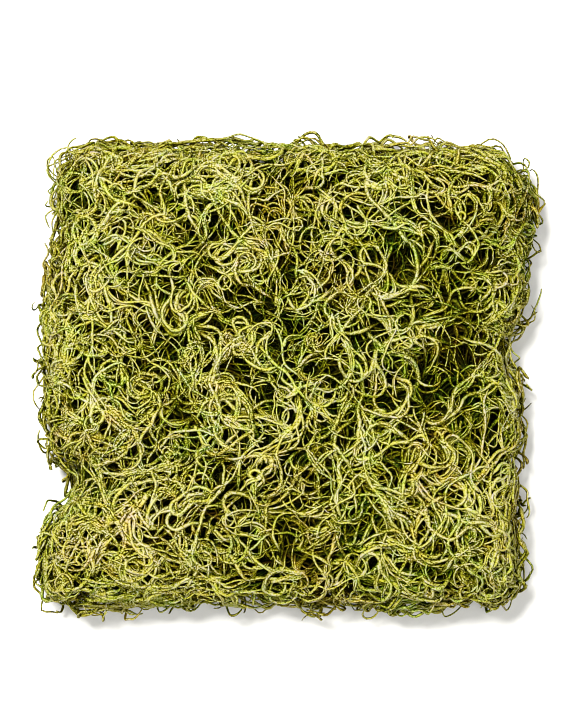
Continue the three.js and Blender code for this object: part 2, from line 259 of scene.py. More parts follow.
# A point of the rectangle's edge, drawn evenly round it, is pulled in to the wavy outline by halving.
def rimStarts(rng, count):
    turn = rng.uniform(0, 4, count)
    along = 2 * (turn % 1) - 1
    side = turn.astype(int)
    one = np.ones(count)
    x = np.select([side == 0, side == 1, side == 2], [along, one, along], -one)
    y = np.select([side == 0, side == 1, side == 2], [-one, along, one], along)
    outer = startsAt["outside"]
    edge = np.stack([x * halfWidth * outer, y * halfLength * outer], -1)
    inside = np.full(count, 0.5)
    outside = np.ones(count)
    for _ in range(startsAt["halvings"]):
        middle = (inside + outside) / 2
        isIn = inwards(edge[:, 0] * middle, edge[:, 1] * middle) > 0
        inside = np.where(isIn, middle, inside)
        outside = np.where(isIn, outside, middle)
    height = rng.uniform(startsAt["lowest"], thickness - startsAt["highest"], count)
    return np.concatenate([edge * inside[:, None], height[:, None]], -1)


# A smooth waver for each strand, from -1 to 1: random values a span apart, eased into each other.
def waver(rng, s, span):
    at = s / span + rng.uniform(0, 1, (len(s), 1))
    before = at.astype(int)
    table = rng.uniform(-1, 1, (len(s), before.max() + 2))
    rows = np.arange(len(s))[:, None]
    ease = smooth(at - before)
    return table[rows, before] * (1 - ease) + table[rows, before + 1] * ease


curling = {
    "curliness": (0.6, 1.5),  # some strands run nearly straight, a few curl tightly
    "flips": 0.5,  # chance that a node turns the curl the other way
    "coilMean": 0.65,  # of a corkscrew's radius
    "coilSwing": 0.35,  # how much of it comes and goes
    "coilSpan": 1.7,  # in pitches
}
powers = {"bend": 1.5, "curl": 2.0, "radius": 1.3}  # gentle bends and thin strands are the commoner ones


# Turn at each ring, in radians. A stretch between two nodes keeps one curvature, with a finer waver on
# it, and the strand kinks at a node. Also gives the kink of each ring, 0 where there is no node.
def bending(rng, look, s, stride):
    count, rings = s.shape
    internode = spread(rng, look["internode"], (count, 1))
    stretch = (s / internode + rng.uniform(0, 1, (count, 1))).astype(int)
    many = stretch.max() + 1
    rows = np.arange(count)[:, None]
    sign = np.cumprod(np.where(rng.random((count, many)) < curling["flips"], -1, 1), 1)
    bend = (spread(rng, look["bend"], (count, many), powers["bend"]) * sign)[rows, stretch]
    bend = bend + look["wriggle"] * waver(rng, s, look["wriggleSpan"])
    bend = bend * spread(rng, curling["curliness"], (count, 1), powers["curl"])
    node = np.diff(stretch, axis=1, prepend=stretch[:, :1]) > 0
    kink = node * spread(rng, look["kink"], (count, rings)) * rng.choice([-1, 1], (count, rings))
    return bend * stride[:, None] + kink, kink


# Every strand takes its next step at once. The heading turns about the outward direction, the foot
# moves along it, and both are brought back onto the pillow.
def walk(foot, ahead, stride, turns):
    count, rings = turns.shape
    feet, outs, aheads = (np.empty((count, rings, 3)) for _ in range(3))
    foot, out = settle(foot, rounds=6)
    ahead = unit(ahead - (ahead * out).sum(-1, keepdims=True) * out)
    for i in range(rings):
        turn = turns[:, i, None]
        ahead = np.cos(turn) * ahead + np.sin(turn) * np.cross(out, ahead)
        feet[:, i], outs[:, i], aheads[:, i] = foot, out, ahead
        foot, out = settle(foot + stride[:, None] * ahead, rounds=2)
        ahead = unit(ahead - (ahead * out).sum(-1, keepdims=True) * out)
    return feet, outs, aheads


# A loose corkscrew about the walked line: its radius times cos outwards and sin across.
def corkscrew(rng, look, s, outs, aheads):
    count = len(s)
    size = spread(rng, look["coil"], (count, 1))
    pitch = spread(rng, look["pitch"], (count, 1))
    turn = 2 * np.pi * s / pitch + rng.uniform(0, 2 * np.pi, (count, 1)) + waver(rng, s, pitch)
    comesAndGoes = curling["coilSwing"] * waver(rng, s, curling["coilSpan"] * pitch)
    size = size * (curling["coilMean"] + comesAndGoes)
    across = np.cross(outs, aheads)
    return size[..., None] * (np.cos(turn)[..., None] * outs + np.sin(turn)[..., None] * across)


even = {
    "cell": 4.6,
    "margin": 2,  # cells outside the bunch, on each side of it
    "otherSide": 0.8,  # a ring is astray where its outward z is this far from its layer's
    "penalty": 4.6,  # what a strand costs that is wholly astray, in rings a cell
    "surplus": 4,  # stems walked for each one picked
    "spare": 3,  # leaves walked for each one picked
}


# Picks strands that lie evenly. The next one is always the one whose rings fall, on average, in the
# emptiest cells of a grid laid through the bunch, and rings on another side of the bunch count against it.
def evenly(crowd, feet, outs, wanted, faces):
    cell = np.floor((feet - low) / even["cell"]).astype(int) + even["margin"]
    cell = np.clip(cell, 0, np.array(crowd.shape) - 1)
    index = np.ravel_multi_index(np.moveaxis(cell, -1, 0), crowd.shape)
    count = crowd.reshape(-1)
    astray = even["penalty"] * (np.abs(outs[..., 2] - faces) > even["otherSide"]).mean(1)
    chosen = []
    for _ in range(wanted):
        cost = count[index].mean(1) + astray
        cost[chosen] = np.inf
        chosen.append(int(cost.argmin()))
        np.add.at(count, index[chosen[-1]], 1)
    return np.array(chosen)


# A grid of cells over the bunch, which counts the rings in each.
def emptyCrowd():
    return np.zeros(np.ceil((high - low) / even["cell"]).astype(int) + 2 * even["margin"])


# What all stems share: how those of one bundle differ, and how a stem changes along its length.
stemHabit = {
    "turnShare": (0.82, 1.18),
    "strideShare": (0.85, 1.0),
    "drift": 0.03,  # in radians a millimetre
    "driftSpan": 9.0,
    "headingSpread": 0.1,
    "depthSpread": 1.2,
    "coilEase": 12.0,  # from either end to where the corkscrew is whole
    "knobSpan": 2.3,
    "knuckle": 0.25,  # how much thicker a node is
    "endShare": 0.5,  # thickness of its ends
    "taper": (9.0, 14.0),  # from its root and from its tip to full thickness
    "toneShape": 2.2,
    "toneSpread": 0.1,
    "toneWaver": 0.16,
    "toneSpan": 11.0,
    "warmthWaver": 0.6,
    "warmthSpan": 14.0,
}


# Stems come up out of the heart, wander in bundles at their own depth, and dive back in.
def growStems(rng, crowd, startsOn, groups, look):
    habit = stemHabit
    foot = startsOn(rng, groups * even["surplus"])
    rings = look["rings"]
    along = np.linspace(0, 1, rings)[None, :]
    length = spread(rng, look["length"], len(foot))
    stride = length / (rings - 1)
    turns, kinks = bending(rng, look, along * length[:, None], stride)
    heading = unit(rng.normal(size=(len(foot), 3)))
    feet, outs, _ = walk(foot, heading, stride, turns)
    size = rng.integers(look["bundle"][0], look["bundle"][1] + 1, groups)
    group = np.repeat(np.arange(groups), size)
    of = evenly(crowd, feet, outs, groups, look["faces"])[group]
    count = len(of)
    turns = turns[of] * rng.uniform(*habit["turnShare"], (count, 1))
    kinks = kinks[of]
    stride = stride[of] * rng.uniform(*habit["strideShare"], count)
    s = along * (stride * (rings - 1))[:, None]
    turns = turns + habit["drift"] * waver(rng, s, habit["driftSpan"]) * stride[:, None]
    heading = heading[of] + rng.normal(size=(count, 3)) * habit["headingSpread"]
    foot = foot[of] + rng.normal(size=(count, 3)) * look["apart"]
    feet, outs, aheads = walk(foot, heading, stride, turns)
    left = s[:, -1:] - s
    ends = 2 - smooth(s / look["dive"]) - smooth(left / look["dive"])
    differ = habit["depthSpread"]
    base = spread(rng, look["depth"], groups)[group, None] + rng.uniform(-differ, differ, (count, 1))
    heave = look["heave"] * waver(rng, s, look["heaveSpan"])
    lie = base + heave + look["clump"] * clump(feet) + hollow(feet)
    depth = below(look["depth"][0], lie) + look["diveDepth"] * ends
    whole = smooth(s / habit["coilEase"]) * smooth(left / habit["coilEase"])
    shift = corkscrew(rng, look, s, outs, aheads) * whole[..., None]
    thick = spread(rng, look["radius"], (count, 1), powers["radius"])
    knots = 1 + look["knobs"] * waver(rng, s, habit["knobSpan"]) + habit["knuckle"] * (kinks != 0)
    end = habit["endShare"]
    fromRoot, fromTip = habit["taper"]
    radius = thick * knots * (end + (1 - end) * smooth(s / fromRoot) * smooth(left / fromTip))
    shape = habit["toneShape"]
    tone = rng.beta(shape, shape, groups)[group, None] + rng.normal(0, habit["toneSpread"], (count, 1))
    tone = tone + habit["toneWaver"] * waver(rng, s, habit["toneSpan"])
    warmth = rng.normal(0, 1, groups)[group, None]
    warmth = warmth + habit["warmthWaver"] * waver(rng, s, habit["warmthSpan"])
    return {
        "feet": feet, "outs": outs, "aheads": aheads, "depth": depth, "shift": shift, "kinks": kinks,
        "curve": (turns - kinks) / stride[:, None], "radius": radius, "tone": np.clip(tone, 0, 1),
        "warmth": warmth, "home": feet[:, 0], "sides": look["sides"],
    }


# What all leaves and twigs share.
leafHabit = {
    "bare": 3,  # rings at either end of a stem that bear none
    "astrayLean": (1.0, 5.0),
    "turnShare": (0.75, 1.2),
    "strideShare": (0.75, 1.1),
    "headingSpread": 0.16,
    "leave": 10.0,  # from its root to where it lies at its own depth
    "widest": 0.95,  # of its stem
    "taper": 0.4,
    "knobSpan": 2.3,
    "tone": (0.04, 0.12),  # mean and spread of how it differs from its stem
    "toneWaver": 0.14,
    "warmthShare": 0.6,  # what it has of its stem's
    "warmthSpread": 0.8,
    "warmthWaver": 0.5,
    "waverSpan": 9.0,
}


# Leaves leave a stem at a node, away from its kink, bend as it does at first, taper, and hook over
# more and more to the tip.
def growLeaves(rng, crowd, stems, look):
    habit = leafHabit
    strand, ring = np.nonzero(stems["kinks"])
    inner = (ring >= habit["bare"]) & (ring < stems["kinks"].shape[1] - habit["bare"])
    strand, ring = strand[inner], ring[inner]
    pick = rng.integers(0, len(strand), look["wisps"] * even["spare"])
    of, at = strand[pick], ring[pick]
    count, rings = len(of), look["rings"]
    foot, out, ahead = stems["feet"][of, at], stems["outs"][of, at], stems["aheads"][of, at]
    kink = stems["kinks"][of, at]
    lean = -np.sign(kink) * spread(rng, look["lean"], count)
    astray = rng.random(count) < look["astray"]
    lean = np.where(astray, lean + rng.uniform(*habit["astrayLean"], count), lean)[:, None]
    heading = np.cos(lean) * ahead + np.sin(lean) * np.cross(out, ahead)
    length = spread(rng, look["length"], count)
    stride = length / (rings - 1)
    along = np.linspace(0, 1, rings)[None, :]
    tipward = along**3
    s = along * length[:, None]
    turns, kinks = bending(rng, look, s, stride)
    hook = np.sign(turns.sum(1)) * spread(rng, look["hook"], count)
    curve = stems["curve"][of, at][:, None] * np.exp(-s / look["follow"])
    turns = turns + (curve + hook[:, None] * tipward) * stride[:, None]
    feet, outs, _ = walk(foot, heading, stride, turns)
    kept = evenly(crowd, feet, outs, look["wisps"], look["faces"])
    kept = np.repeat(kept, rng.integers(look["bundle"][0], look["bundle"][1] + 1, len(kept)))
    count = len(kept)
    of, at, kinks = of[kept], at[kept], kinks[kept]
    turns = turns[kept] * rng.uniform(*habit["turnShare"], (count, 1))
    stride = stride[kept] * rng.uniform(*habit["strideShare"], count)
    s = along * (stride * (rings - 1))[:, None]
    foot = foot[kept] + rng.normal(size=(count, 3)) * look["apart"]
    heading = heading[kept] + rng.normal(size=(count, 3)) * habit["headingSpread"]
    feet, outs, aheads = walk(foot, heading, stride, turns)
    leave = smooth(s / habit["leave"])
    root = stems["depth"][of, at][:, None]
    own = spread(rng, look["depth"], (count, 1)) + look["heave"] * waver(rng, s, look["heaveSpan"])
    own = own + look["clump"] * clump(feet) + hollow(feet)
    own = own + spread(rng, look["tuck"], (count, 1)) * tipward
    depth = root + (below(look["depth"][0], own) - root) * leave
    rootShift = stems["shift"][of, at][:, None]
    shift = rootShift * (1 - leave)[..., None] + corkscrew(rng, look, s, outs, aheads) * leave[..., None]
    widest = habit["widest"] * stems["radius"][of, at]
    thick = np.minimum(spread(rng, look["radius"], count, powers["radius"]), widest)[:, None]
    knots = 1 + look["knobs"] * waver(rng, s, habit["knobSpan"])
    radius = thick * (1 - habit["taper"] * tipward) * knots
    tone = stems["tone"][of, at][:, None] + rng.normal(*habit["tone"], (count, 1))
    tone = tone + habit["toneWaver"] * waver(rng, s, habit["waverSpan"])
    warmth = stems["warmth"][of, at][:, None] * habit["warmthShare"]
    warmth = warmth + rng.normal(0, habit["warmthSpread"], (count, 1))
    warmth = warmth + habit["warmthWaver"] * waver(rng, s, habit["waverSpan"])
    return {
        "feet": feet, "outs": outs, "aheads": aheads, "depth": depth, "shift": shift, "kinks": kinks,
        "radius": radius, "tone": np.clip(tone, 0, 1), "warmth": warmth, "home": stems["home"][of],
        "sides": look["sides"],
    }


# A mesh from its points, the corners of its faces and where each face starts among them.
def makeObject(name, points, corners, starts, values, uv):
    mesh = bpy.data.meshes.new(name)
    mesh.vertices.add(len(points))
    mesh.vertices.foreach_set("co", (points / metre).astype(np.float32).ravel())
    mesh.loops.add(len(corners))
    mesh.loops.foreach_set("vertex_index", corners.astype(np.int32))
    mesh.polygons.add(len(starts))
    mesh.polygons.foreach_set("loop_start", starts.astype(np.int32))
    mesh.polygons.foreach_set("use_smooth", np.ones(len(starts), bool))
    mesh.update(calc_edges=True)
    for key, value in values.items():
        made = mesh.attributes.new(key, "FLOAT", "POINT")
        made.data.foreach_set("value", value.astype(np.float32).ravel())
    if uv is not None:
        mesh.uv_layers.new(name="OFBake").uv.foreach_set("vector", uv.astype(np.float32).ravel())
    piece = bpy.data.objects.new(name, mesh)
    bpy.context.scene.collection.objects.link(piece)
    return piece


# Painted light and shade, put into the strands' colour: how much light would reach, less with depth under
# the pillow (painted shade in the recesses), and less down a strand's sides (painted shading round each
# strand).
paintedLightReach = {
    "top": 4.3,  # depth under the top where about a third is left
    "sides": 5.8,  # the same under the sides
    "fall": 2.0,  # power of the depth
    # painted shade on the pillow's sides and underside, which face away from the lamps
    "fade": 0.24,  # lost on the sides and the underside
    "under": 0.08,  # left on the far side of a strand
    "edge": 2.2,  # power of the fall round a strand
    "above": 0.8,  # how far a strand's lit side turns from outwards to upwards
}
tips = {"reach": 0.7, "light": 0.7}  # of a pole, as a share of the last ring's radius and light
aboveSurface = 0.05  # least gap from a strand to the surface


# A round section carried along each strand: centre plus radius times cos and sin of the angle round,
# across and up, starting at the top. Each end closes on a pole a little past the last ring.
def tubes(name, strands, pick):
    radius = strands["radius"][pick]
    outs = strands["outs"][pick]
    shift = strands["shift"][pick]
    depth = strands["depth"][pick]
    centre = strands["feet"][pick] - depth[..., None] * outs + shift
    centre[..., 2] = np.maximum(centre[..., 2], radius + aboveSurface)
    centre = np.clip(centre, low + radius[..., None], high - radius[..., None])
    count, rings, sides = *radius.shape, strands["sides"]
    along = unit(np.gradient(centre, axis=1))
    across = unit(np.cross(outs, along) + 1e-4 * strands["aheads"][pick])
    up = unit(np.cross(along, across))
    across = np.cross(up, along)
    angle = np.pi / 2 + 2 * np.pi * np.arange(sides) / sides
    section = across[:, :, None] * np.cos(angle)[:, None] + up[:, :, None] * np.sin(angle)[:, None]
    shell = (centre[:, :, None] + radius[:, :, None, None] * section).reshape(count, rings * sides, 3)
    endwards = np.stack([-along[:, 0], along[:, -1]], 1)
    poles = centre[:, [0, -1]] + radius[:, [0, -1], None] * tips["reach"] * endwards
    points = np.concatenate([shell, poles], 1)
    points[..., 2] = np.maximum(points[..., 2], 0)
    # Painted shade put into the colour: darker with depth under the pillow, on the pillow's sides and
    # underside, and round each strand from its lit side to its far side.
    under = np.maximum(depth - (shift * outs).sum(-1), 0)
    flat = np.abs(outs[..., 2])
    reach = paintedLightReach["top"] * flat + paintedLightReach["sides"] * (1 - flat)
    faded = 1 - paintedLightReach["fade"] * (1 - np.clip(outs[..., 2], 0, 1))
    reached = faded * np.exp(-((under / reach) ** paintedLightReach["fall"]))
    lit = unit(outs + np.array([0, 0, paintedLightReach["above"]]))
    facing = (0.5 + 0.5 * (section * lit[:, :, None]).sum(-1)) ** paintedLightReach["edge"]
    facing = paintedLightReach["under"] + (1 - paintedLightReach["under"]) * facing
    light = (reached[:, :, None] * facing).reshape(count, -1)
    values = {"light": np.concatenate([light, tips["light"] * reached[:, [0, -1]]], 1)}
    for key in ("tone", "warmth", "dust"):
        value = strands[key][pick]
        values[key] = np.concatenate([np.repeat(value, sides, 1), value[:, [0, -1]]], 1)
    each = rings * sides + 2
    first = (np.arange(count) * each)[:, None, None]
    k = np.arange(sides)
    after = (k + 1) % sides
    ring = (np.arange(rings - 1) * sides)[:, None]
    quad = np.stack([ring + k, ring + after, ring + sides + after, ring + sides + k], -1).reshape(-1, 4)
    last = (rings - 1) * sides
    start = np.stack([np.full(sides, each - 2), after, k], -1)
    end = np.stack([np.full(sides, each - 1), last + k, last + after], -1)
    parts = [(first + part[None]).reshape(count, -1) for part in (quad, start, end)]
    corners = np.concatenate(parts, 1)
    sizes = np.tile(np.concatenate([np.full(len(quad), 4), np.full(2 * sides, 3)]), count)
    starts = np.concatenate([[0], np.cumsum(sizes)[:-1]])
    uv = stripLayout(count, rings, sides)
    return makeObject(name, points.reshape(-1, 3), corners.ravel(), starts, values, uv)


stripMap = {"slimness": 12.0, "overrun": 0.02, "margin": 0.06}  # of a strip, the last two in its own size


# Each strand has a strip of the map: u runs along it and v round it, and the strips fill columns.
def stripLayout(count, rings, sides):
    columns = max(int(np.ceil(np.sqrt(count / stripMap["slimness"]))), 1)
    rows = int(np.ceil(count / columns))
    i, k = np.meshgrid(np.arange(rings - 1), np.arange(sides), indexing="ij")
    u = np.stack([i, i, i + 1, i + 1], -1) / (rings - 1)
    v = np.stack([k, k + 1, k + 1, k], -1) / sides
    parts = [np.stack([u, v], -1).reshape(-1, 2)]
    k = np.arange(sides)
    past = stripMap["overrun"]
    for end, pole, ringV in ((0.0, -past, (k + 1, k)), (1.0, 1 + past, (k, k + 1))):
        capV = np.stack([k + 0.5, *ringV], -1) / sides
        capU = np.full_like(capV, end)
        capU[:, 0] = pole
        parts.append(np.stack([capU, capV], -1).reshape(-1, 2))
    margin = stripMap["margin"]
    strip = margin + (1 - 2 * margin) * np.concatenate(parts)
    corner = np.stack([np.arange(count) % columns / columns, np.arange(count) // columns / rows], -1)
    return corner[:, None] + strip[None] / np.array([columns, rows])


# The heart of a hank: rays from its middle, by an angle round and a height angle, leave the pillow at
# the inset found by halving, roughened by the clumps.
def heart(name, side, look):
    middle = look["middle"][side]
    roundStep, upStep = look["round"], look["up"]
    theta = np.linspace(0, 2 * np.pi, roundStep, endpoint=False)
    phi = np.linspace(-np.pi / 2, np.pi / 2, upStep + 2)[1:-1]
    squash = look["squash"]
    direction = np.stack([
        np.cos(phi)[:, None] * np.cos(theta) * squash[0],
        np.cos(phi)[:, None] * np.sin(theta) * squash[1],
        np.sin(phi)[:, None] * np.ones(roundStep) * squash[2],
    ], -1)
    poles = np.array([[0, 0, -1.0], [0, 0, 1.0]])
    direction = unit(np.concatenate([direction.reshape(-1, 3), poles]))
    inside = np.zeros(len(direction))
    outside = np.full(len(direction), 2 * halfWidth)
    for _ in range(look["halvings"]):
        reach = (inside + outside) / 2
        p = middle + direction * reach[:, None]
        past = side * pastCrease(p[:, 0], p[:, 1]) - look["creaseInset"]
        isIn = (beyond(p, look["inset"]) < 0) & (past > 0)
        inside = np.where(isIn, reach, inside)
        outside = np.where(isIn, outside, reach)
    p = middle + direction * inside[:, None]
    p = p + direction * (look["rough"] * clump(p * look["grain"]))[:, None]
    p[:, 2] = np.maximum(p[:, 2], look["lift"])
    k = np.arange(roundStep)
    after = (k + 1) % roundStep
    ring = (np.arange(upStep - 1) * roundStep)[:, None]
    quads = np.stack([ring + k, ring + after, ring + roundStep + after, ring + roundStep + k], -1)
    top = (upStep - 1) * roundStep
    under = np.stack([np.full(roundStep, len(p) - 2), after, k], -1)
    over = np.stack([np.full(roundStep, len(p) - 1), top + k, top + after], -1)
    corners = np.concatenate([quads.ravel(), under.ravel(), over.ravel()])
    sizes = np.concatenate([np.full(quads.size // 4, 4), np.full(2 * roundStep, 3)])
    starts = np.concatenate([[0], np.cumsum(sizes)[:-1]])
    return makeObject(name, p, corners, starts, {}, None)


# Wraps an output socket, so that sums, products and the like on it add Math nodes.
class Sock:
    def __init__(self, shader, socket):
        self.shader = shader
        self.socket = socket

    def math(self, operation, other, swapped=False):
        pair = (other, self) if swapped else (self, other)
        return self.shader.node("ShaderNodeMath", {"operation": operation}, dict(enumerate(pair)))

    def __add__(self, other):
        return self.math("ADD", other)

    __radd__ = __add__

    def __mul__(self, other):
        return self.math("MULTIPLY", other)

    __rmul__ = __mul__

    def __sub__(self, other):
        return self.math("SUBTRACT", other)

    def __rsub__(self, other):
        return self.math("SUBTRACT", other, True)


class Shader:
    def __init__(self, name):
        self.material = bpy.data.materials.new(name)
        self.material.use_nodes = True
        self.tree = self.material.node_tree
        self.surface = self.tree.nodes["Principled BSDF"]

    # Adds one node: its settings first, a ramp's stops among them, then values or links by socket.
    def node(self, kind, settings=None, inputs=None, output=0):
        made = self.tree.nodes.new(kind)
        for key, value in (settings or {}).items():
            if key == "stops":
                self.setStops(made.color_ramp, value)
            else:
                setattr(made, key, value)
        for key, value in (inputs or {}).items():
            self.feed(made.inputs[key], value)
        return Sock(self, made.outputs[output])

    def setStops(self, ramp, stops):
        while len(ramp.elements) < len(stops):
            ramp.elements.new(1.0)
        for element, (place, colour) in zip(ramp.elements, stops):
            element.position = place
            element.color = (*colour, 1.0)

    def feed(self, socket, value):
        if isinstance(value, Sock):
            self.tree.links.new(value.socket, socket)
        else:
            socket.default_value = value

    def where(self):
        return self.node("ShaderNodeTexCoord", {}, {}, "Object")

    def noise(self, where, scale, detail, roughness=0.55):
        inputs = {"Vector": where, "Scale": scale, "Detail": detail, "Roughness": roughness}
        return self.node("ShaderNodeTexNoise", {}, inputs)

    def attribute(self, name):
        return self.node("ShaderNodeAttribute", {"attribute_name": name}, {}, "Fac")

    def ramp(self, value, stops):
        return self.node("ShaderNodeValToRGB", {"stops": stops}, {"Fac": value})

    # Rises from 0 to 1 as the value passes from one limit to the other.
    def between(self, value, start, end):
        inputs = {"Value": value, "From Min": start, "From Max": end}
        return self.node("ShaderNodeMapRange", {}, inputs)

    def mix(self, factor, a, b):
        return self.node("ShaderNodeMix", {"data_type": "RGBA"}, {0: factor, 6: a, 7: b}, 2)

    def times(self, a, b):
        return self.node("ShaderNodeVectorMath", {"operation": "MULTIPLY"}, {0: a, 1: b})

    def finish(self, inputs):
        for key, value in inputs.items():
            self.feed(self.surface.inputs[key], value)
        return self.material


# Colour stops against the painted brightness, whose dark end is painted shade, noise scales in cells a
# metre, and the share that each thing has.
strandFinish = {
    "stops": [
        (0.0, (0.006, 0.0055, 0.0002)),
        (0.15, (0.036, 0.0345, 0.001)),
        (0.4, (0.202, 0.195, 0.008)),
        (0.65, (0.375, 0.361, 0.1248)),
        (1.0, (0.422, 0.405, 0.31)),
    ],
    "greenStops": [
        (0.0, (0.0005, 0.0075, 0.0005)),
        (0.15, (0.016, 0.050, 0.0032)),
        (0.4, (0.157, 0.228, 0.0105)),
        (0.65, (0.315, 0.39, 0.1152)),
        (1.0, (0.376, 0.433, 0.276)),
    ],
    "tanStops": [
        (0.0, (0.018, 0.005, 0.001)),
        (0.15, (0.064, 0.030, 0.0048)),
        (0.4, (0.262, 0.184, 0.0155)),
        (0.65, (0.42, 0.34, 0.1408)),
        (1.0, (0.456, 0.386, 0.333)),
    ],
    "dustTints": [(0.0, (1.0, 1.0, 0.16)), (0.5, (1.0, 1.0, 0.5)), (1.0, (0.96, 0.96, 1.0))],
    "dustPatch": 260.0,
    "patches": 30.0,
    "fleck": 190.0,
    "mottle": 640.0,
    "scurf": 1500.0,
    "plain": 0.63,  # brightness with no tone
    "inBright": {"tone": 0.74, "mottle": 1.9, "scurf": 5.0},
    "inWarmth": {"strand": 0.13, "patches": 1.7, "flecks": 1.6, "bright": 0.08},
    "inDust": {"strand": 0.11, "patch": 1.5, "scurf": 1.6},
    "greenAt": (-0.02, -0.62),  # warmth where it sets in and where it is strongest
    "tanAt": (0.08, 0.74),
    "strongest": 0.95,
    "bump": {"strength": 0.7, "distance": 0.0004, "mottle": 0.6, "scurf": 0.4},
    "roughness": 0.75,
    "specular": 0.02,
}


# Brightness is the painted light reached times the strand's tone, with a mottle on it, and runs through
# three
# ramps: olive, green and tan, whose dark ends are painted shade. The strand's own warmth, broad patches,
# small flecks and a little of the painted brightness choose among them.
# A tint is multiplied over them, vivid with little dust and pale with more, by strand and by patch.
def strandMaterial():
    look = strandFinish
    s = Shader("mossStrand")
    where = s.where()
    mottle = s.noise(where, look["mottle"], detail=3.0)
    scurf = s.noise(where, look["scurf"], detail=2.0)
    tone = s.attribute("tone")
    share = look["inBright"]
    speckle = (mottle - 0.5) * share["mottle"] + (scurf - 0.5) * share["scurf"]
    bright = s.attribute("light") * (look["plain"] + tone * share["tone"] + speckle)
    patches = s.noise(where, look["patches"], detail=3.0, roughness=0.6)
    flecks = s.noise(where, look["fleck"], detail=2.0)
    share = look["inWarmth"]
    warm = s.attribute("warmth") * share["strand"] + (patches - 0.5) * share["patches"]
    warm = warm + (flecks - 0.5) * share["flecks"] + bright * share["bright"]
    olive = s.ramp(bright, look["stops"])
    green = s.ramp(bright, look["greenStops"])
    tan = s.ramp(bright, look["tanStops"])
    colour = s.mix(s.between(warm, *look["greenAt"]) * look["strongest"], olive, green)
    colour = s.mix(s.between(warm, *look["tanAt"]) * look["strongest"], colour, tan)
    dustPatch = s.noise(where, look["dustPatch"], detail=2.0)
    share = look["inDust"]
    dusty = s.attribute("dust") * share["strand"] + (dustPatch - 0.5) * share["patch"]
    dusty = dusty + (scurf - 0.5) * share["scurf"] + 0.5
    colour = s.times(colour, s.ramp(dusty, look["dustTints"]))
    share = look["bump"]
    bump = s.node("ShaderNodeBump", {}, {
        "Strength": share["strength"],
        "Distance": share["distance"],
        "Height": mottle * share["mottle"] + scurf * share["scurf"],
    })
    return s.finish({
        "Base Color": colour,
        "Roughness": look["roughness"],
        "Specular IOR Level": look["specular"],
        "Normal": bump,
    })


heartThreadsAndShadeFinish = {
    "threads": (260.0, 520.0),  # scale of the coarse ones and of the fine ones
    "thin": (0.035, 0.045),  # how far from a noise's middle a thread reaches
    "fineShare": 0.7,
    "patches": 70.0,
    "plain": 0.35,
    # all near-black: painted shade of the unlit depths, with the threads at the lighter end
    "stops": [
        (0.0, (0.0012, 0.0016, 0.0002)),
        (0.4, (0.008, 0.011, 0.0006)),
        (0.9, (0.06, 0.062, 0.006)),
    ],
    "bump": {"Strength": 0.9, "Distance": 0.001},
    "surface": {"Roughness": 0.9, "Specular IOR Level": 0.0},
}


# Matted threads seen in the depths: thin lines where either of two noises passes its middle, pale on
# near-black green. The near-black green is painted shade for the unlit depths of the bunch.
def heartThreadsAndShadeMaterial():
    look = heartThreadsAndShadeFinish
    s = Shader("mossHeartThreadsAndShade")
    where = s.where()
    coarse = s.noise(where, look["threads"][0], detail=2.0)
    fine = s.noise(where, look["threads"][1], detail=2.0)
    threads = s.between((coarse - 0.5).math("ABSOLUTE", 0), look["thin"][0], 0.0)
    fineThreads = s.between((fine - 0.5).math("ABSOLUTE", 0), look["thin"][1], 0.0)
    threads = threads.math("MAXIMUM", fineThreads * look["fineShare"])
    patches = s.noise(where, look["patches"], detail=2.0)
    colour = s.ramp(threads * (look["plain"] + patches), look["stops"])
    bump = s.node("ShaderNodeBump", {}, {**look["bump"], "Height": threads})
    return s.finish({"Base Color": colour, **look["surface"], "Normal": bump})


hankSides = {"upper": 1, "lower": -1}  # side of the crease

